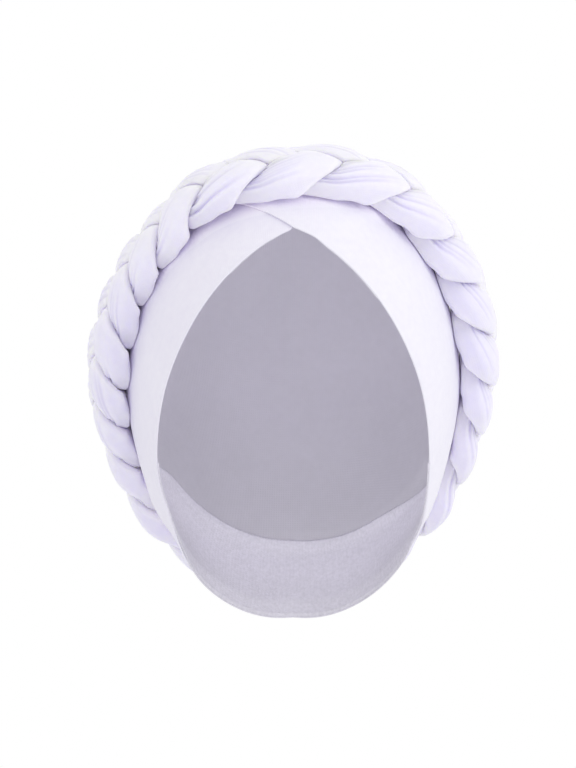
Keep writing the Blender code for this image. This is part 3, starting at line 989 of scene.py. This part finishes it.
def colour_setting(name, description, default):
    return bpy.props.FloatVectorProperty(
        name=name, description=description, default=default, size=3, min=0.0, max=1.0,
        subtype="COLOR")


class WrapColours(bpy.types.PropertyGroup):
    jersey: colour_setting(
        "Jersey", "Colour of the crown and the front panels", (0.895, 0.878, 0.95))
    braid: colour_setting("Braid", "Colour of the braid's strands", (0.845, 0.827, 0.95))
    # The colour of the painted shade on the jersey and the braid
    crease: colour_setting(
        "Crease", "Colour that the outer cloth goes toward in its creases", (0.47, 0.42, 0.66))
    # The lining's greyer colour is partly its own and partly painted shade of the crown's shaded inside
    lining: colour_setting("Lining", "Colour of the lining", (0.785, 0.765, 0.832))
    nape: colour_setting(
        "Nape band", "Colour of the band inside the nape", (0.91, 0.885, 0.975))


def settings(context):
    return context.scene.wrap_sizes, context.scene.wrap_colours


# What several pieces share

def painted_light_beside_braid(around, down):
    """Painted light on the cloth next to the braid, lifting the shade there as if light were thrown
    back and forth.
    """
    away = np.abs(down - braid_down(around))
    return -BESIDE_PAINTED_LIGHT * (1.0 - smooth_step(away, BESIDE_START, BESIDE_END))


def edge_press(around, below_edge):
    """How far the upper panel's outer face comes down at its free edge, where it is thin."""
    thin = 1.0 - smooth_step(below_edge, 0.0, HEM_WIDTH)
    return (PANEL_WALL - RIM_WALL) * thin * (1.0 - smooth_step(wrapped(around), *PRESS_FADE))


def near_rim(around, down):
    """0 away from the opening's edge, 1 at it, where the layers of cloth are sewn together."""
    return smooth_step(down - opening_edge(around), -RIM_BLEND, -RIM_CLOSE)


def inner_wall(around, down):
    """Thickness of the lining and the nape band."""
    rim = near_rim(around, down)
    return LINING_WALL * (1.0 - rim) + INNER_RIM_WALL * rim


def inner_lift(around, down):
    """Lift of the lining's outer face: close under the crown and the panels, and against the
    panels' thinned edge at the opening."""
    turn = wrapped(around)
    rim = near_rim(around, down)
    close = -(RIM_WALL + CLOTH_GAP)
    lifted = SCENE_CROSS_SHARE * cross_lift(around, down) * smooth_step(turn, 0.0, 1.0)
    lifted = lifted * smooth_step(down - cross_edge(around), *LIFT_BELOW)
    lifted = lifted * smooth_step(-turn, *LIFT_SIDE)
    lifted = lifted - edge_press(around, opening_edge(around) - down) * smooth_step(turn, 0.0, 1.0)
    return -lining_depth(around, down) * (1.0 - rim) + close * rim + lifted


# One operator for each piece or group of like pieces

class WRAP_OT_crown(bpy.types.Operator):
    """Makes the crown: the cap of jersey behind the braid, puckered where it runs under it"""
    bl_idname = "wrap.crown"
    bl_label = "Crown"

    def execute(self, context):
        def edge(around):
            return braid_down(around) + CROWN_EDGE

        def lift(around, down):
            past = down - braid_down(around) - CROWN_EDGE
            uneven = PUCKER_UNEVEN * soft_noise(around, down, PUCKER_WAVES)
            puckers = np.sin(np.radians(PUCKERS * around) + uneven)
            close = smooth_step(past, *PUCKER_START) * (1.0 - smooth_step(past, *PUCKER_END))
            swell = CROWN_SWELL * close + PUCKER_HEIGHT * puckers * close
            slow = CROWN_WAVE_HEIGHT * soft_noise(around, down, CROWN_WAVES)
            slow = slow * smooth_step(down, *CROWN_WAVES_START)
            return -CROWN_DEPTH + swell + slow * (1.0 - smooth_step(past, *CROWN_WAVES_END))

        def wall(around, down):
            return np.full(np.shape(down), CROWN_WALL)

        # Painted light on the crown next to the braid, lifting the shade there
        made = make_shell_dome("crown_cloth", edge, wall, lift, cloth_material(context, JERSEY),
                               painted_light_beside_braid)
        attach(made, BODY)
        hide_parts("crown")
        return {"FINISHED"}


class WRAP_OT_panels(bpy.types.Operator):
    """Makes the two front panels, the right one crossed over the left above the forehead"""
    bl_idname = "wrap.panels"
    bl_label = "Front panels"

    def execute(self, context):
        for name, side, upper in (("left", -1, False), ("right", 1, True)):
            self.make_panel(context, name, side, upper)
        return {"FINISHED"}

    def make_panel(self, context, name, side, upper):
        columns = int(round((180.0 - BACK_JOIN + CROSS_END) / SHELL_STEP)) + 1
        around = np.linspace(-CROSS_END, 180.0 - BACK_JOIN, columns)
        top = braid_down(side * around) + PANEL_TOP
        edge = np.where(around < 0.0, cross_edge(around), opening_edge(around))
        if not upper:
            edge = edge - CROSS_TUCK * smooth_step(-around, *TUCK_FADE)
        edge = edge - TURN_WIDTH * turned_over(side * around)
        bottom = np.maximum(edge, top + TIP_WIDTH)
        if side < 0:
            around, top, bottom = -around[::-1], top[::-1], bottom[::-1]
        back = 180.0 - BACK_JOIN - np.abs(around)

        def wall(down):
            thin = smooth_step(bottom - down, 0.0, HEM_WIDTH)
            return RIM_WALL + (PANEL_WALL - RIM_WALL) * thin

        def lift(down):
            turn = np.broadcast_to(around, down.shape)
            slow = PANEL_WAVE_HEIGHT * (soft_noise(turn, down, PANEL_WAVES[name]) - 1.0)
            tucked = BACK_TUCK * (1.0 - smooth_step(back, 0.0, BACK_TUCK_WIDTH))
            base = 0.0
            if upper:
                base = SCENE_CROSS_SHARE * cross_lift(turn, down) - edge_press(turn, bottom - down)
            return base + slow - tucked

        # Painted light next to the braid; on the lower panel also a painted shadow along the upper
        # one's edge and painted shade over the whole panel
        def shade(turn, down):
            if upper:
                return painted_light_beside_braid(turn, down)
            under = CROSS_SHADE * bump_at(down, cross_edge(turn), CROSS_SHADE_WIDTH) * (turn < 0.0)
            return painted_light_beside_braid(turn, down) + (under + LEFT_SHADE)

        made = make_shell_band("front_panel_" + name + "_cloth", around, top, bottom,
                               wall, lift, cloth_material(context, JERSEY), shade)
        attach(made, BODY)
        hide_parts("front_panel_" + name)


class WRAP_OT_lining(bpy.types.Operator):
    """Makes the lining inside the crown, darker partly in its own colour and partly by painted shade"""
    bl_idname = "wrap.lining"
    bl_label = "Lining"

    def execute(self, context):
        def edge(around):
            apex = APEX_INSET * bump_at(wrapped(around), APEX_PLACE, APEX_SPREAD)
            front = opening_edge(around) - INNER_INSET - apex
            return np.minimum(front, nape_edge(around) + NAPE_LAP / 2.0)

        def lift(around, down):
            slow = INNER_WAVE_HEIGHT * (1.0 + soft_noise(around, down, LINING_WAVES))
            return inner_lift(around, down) - slow

        # Painted shade, darker low down at the back
        def shade(around, down):
            behind = smooth_step(np.abs(wrapped(around)), *LINING_BEHIND)
            return LINING_SHADE * behind * smooth_step(down, *LINING_LOW)

        made = make_shell_dome("lining_cloth", edge, inner_wall, lift,
                               cloth_material(context, LINING), shade)
        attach(made, BODY)
        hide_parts("lining")
        return {"FINISHED"}


class WRAP_OT_nape_band(bpy.types.Operator):
    """Makes the lighter knitted band inside the nape"""
    bl_idname = "wrap.nape_band"
    bl_label = "Nape band"

    def execute(self, context):
        start = NAPE_TABLE["around"][0]
        columns = int(round((360.0 - 2.0 * start) / SHELL_STEP)) + 1
        around = np.linspace(start, 360.0 - start, columns)
        rolled = turned_over(around)
        bottom = opening_edge(around) - INNER_INSET * (1.0 - rolled)
        top = np.minimum(nape_edge(around) - NAPE_LAP / 2.0, bottom - TIP_WIDTH)

        def lap(down):
            return 1.0 - smooth_step(down - top, NAPE_LAP + LAP_FADE[0], NAPE_LAP + LAP_FADE[1])

        def wall(down):
            return inner_wall(around, down) * (1.0 - lap(down)) + LAP_WALL * lap(down)

        def lift(down):
            turn = np.broadcast_to(around, down.shape)
            past_edge = down - opening_edge(turn)
            under = (LINING_WALL + CLOTH_GAP + LAP_ROOM) * lap(down)
            over = RIM_WALL * rolled * smooth_step(past_edge, -TURN_WIDTH, -TURN_WIDTH / 4.0)
            slow = INNER_WAVE_HEIGHT * (1.0 + soft_noise(turn, down, NAPE_WAVES))
            return inner_lift(turn, down) - under + over - slow

        # Painted shade where the band is turned over, and darker toward the opening's edge
        def shade(turn, down):
            start, full = [-share * TURN_WIDTH for share in EDGE_SHADE_SHARES]
            at_edge = smooth_step(down - opening_edge(turn), start, full)
            low = NAPE_SHADE * smooth_step(down - nape_edge(turn), *NAPE_LOW)
            return EDGE_SHADE * at_edge * turned_over(turn) + low

        made = make_shell_band("nape_band_cloth", around, top, bottom, wall, lift,
                               cloth_material(context, NAPE), shade)
        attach(made, BODY)
        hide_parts("nape_band")
        return {"FINISHED"}


class WRAP_OT_braid(bpy.types.Operator):
    """Makes the three puffy strands of the braid"""
    bl_idname = "wrap.braid"
    bl_label = "Braid"

    def execute(self, context):
        material = cloth_material(context, BRAID)
        for number in range(STRANDS):
            made = make_strand(number, material)
            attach(made, BODY)
            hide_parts("braid_strand_" + str(number + 1))
        return {"FINISHED"}


def photo_camera():
    """Place and aim of the camera, from the photograph's frame and pixel scale."""
    lift = math.radians(LOOK_UP)
    forward = np.array([0.0, math.cos(lift), math.sin(lift)])
    up = np.array([0.0, -math.sin(lift), math.cos(lift)])
    right = np.array([1.0, 0.0, 0.0])
    target = (right * (PHOTO_WIDTH / 2.0 - FORM_PIXEL[0]) * PIXEL
              + up * (FORM_PIXEL[1] - PHOTO_HEIGHT / 2.0) * PIXEL)
    return target - SEAT, target - forward * CAMERA_DISTANCE - SEAT


def aimed(name, data, place, target):
    """An object at a place, looking at a target along its own -Z."""
    made = placed(name, data)
    made.location = place
    direction = Vector(target) - Vector(place)
    made.rotation_euler = direction.to_track_quat("-Z", "Y").to_euler()
    return made


class WRAP_OT_stage(bpy.types.Operator):
    """Makes the pale floor, the soft studio light and the camera"""
    bl_idname = "wrap.stage"
    bl_label = "Stage"

    def execute(self, context):
        sizes, _ = settings(context)
        scene = context.scene
        level = CAD_BOX[0][2] - sizes.floor_drop
        turns = ((-1.0, -1.0), (1.0, -1.0), (1.0, 1.0), (-1.0, 1.0))
        corners = [(FLOOR_HALF * x, FLOOR_HALF * y, level) for x, y in turns]
        mesh = bpy.data.meshes.new("floor")
        mesh.from_pydata(corners, [], [(0, 1, 2, 3)])
        mesh.materials.append(floor_material())
        placed("floor", mesh)

        target, place = photo_camera()
        data = bpy.data.cameras.new("photo_camera")
        data.sensor_fit = "VERTICAL"
        data.sensor_height = SENSOR
        data.lens = SENSOR * CAMERA_DISTANCE / (PHOTO_HEIGHT * PIXEL)
        scene.camera = aimed("photo_camera", data, place, target)

        for name, where, size, power in LAMPS:
            lamp = bpy.data.lights.new(name, "AREA")
            lamp.size = size
            lamp.energy = power
            aimed(name, lamp, where, LAMP_TARGET)

        world = bpy.data.worlds.new("studio")
        world.use_nodes = True
        sky = world.node_tree.nodes["Background"]
        sky.inputs["Color"].default_value = SKY_COLOUR
        sky.inputs["Strength"].default_value = SKY_STRENGTH
        scene.world = world
        scene.view_settings.view_transform = "Standard"
        scene.cycles.max_bounces = LIGHT_BOUNCES
        scene.cycles.diffuse_bounces = DIFFUSE_BOUNCES
        return {"FINISHED"}


class WRAP_PT_panel(bpy.types.Panel):
    """Lists the wrap's pieces and settings"""
    bl_idname = "WRAP_PT_panel"
    bl_label = "Head wrap"
    bl_space_type = "VIEW_3D"
    bl_region_type = "UI"
    bl_category = "Head wrap"

    def draw(self, context):
        sizes, colours = settings(context)
        for group in (sizes, colours):
            box = self.layout.box()
            for key in group.bl_rna.properties.keys():
                if key not in ("rna_type", "name"):
                    box.prop(group, key)
        for operator in OPERATORS:
            self.layout.operator(operator.bl_idname)


OPERATORS = (WRAP_OT_stage, WRAP_OT_crown, WRAP_OT_panels, WRAP_OT_lining, WRAP_OT_nape_band,
             WRAP_OT_braid)
CLASSES = (WrapSizes, WrapColours, *OPERATORS, WRAP_PT_panel)


def register():
    for made in CLASSES:
        bpy.utils.register_class(made)
    bpy.types.Scene.wrap_sizes = bpy.props.PointerProperty(type=WrapSizes)
    bpy.types.Scene.wrap_colours = bpy.props.PointerProperty(type=WrapColours)


def unregister():
    del bpy.types.Scene.wrap_colours
    del bpy.types.Scene.wrap_sizes
    for made in reversed(CLASSES):
        bpy.utils.unregister_class(made)


def main():
    register()
    bpy.ops.wrap.stage()
    bpy.ops.wrap.crown()
    bpy.ops.wrap.panels()
    bpy.ops.wrap.lining()
    bpy.ops.wrap.nape_band()
    bpy.ops.wrap.braid()


if __name__ == "__main__":
    main()
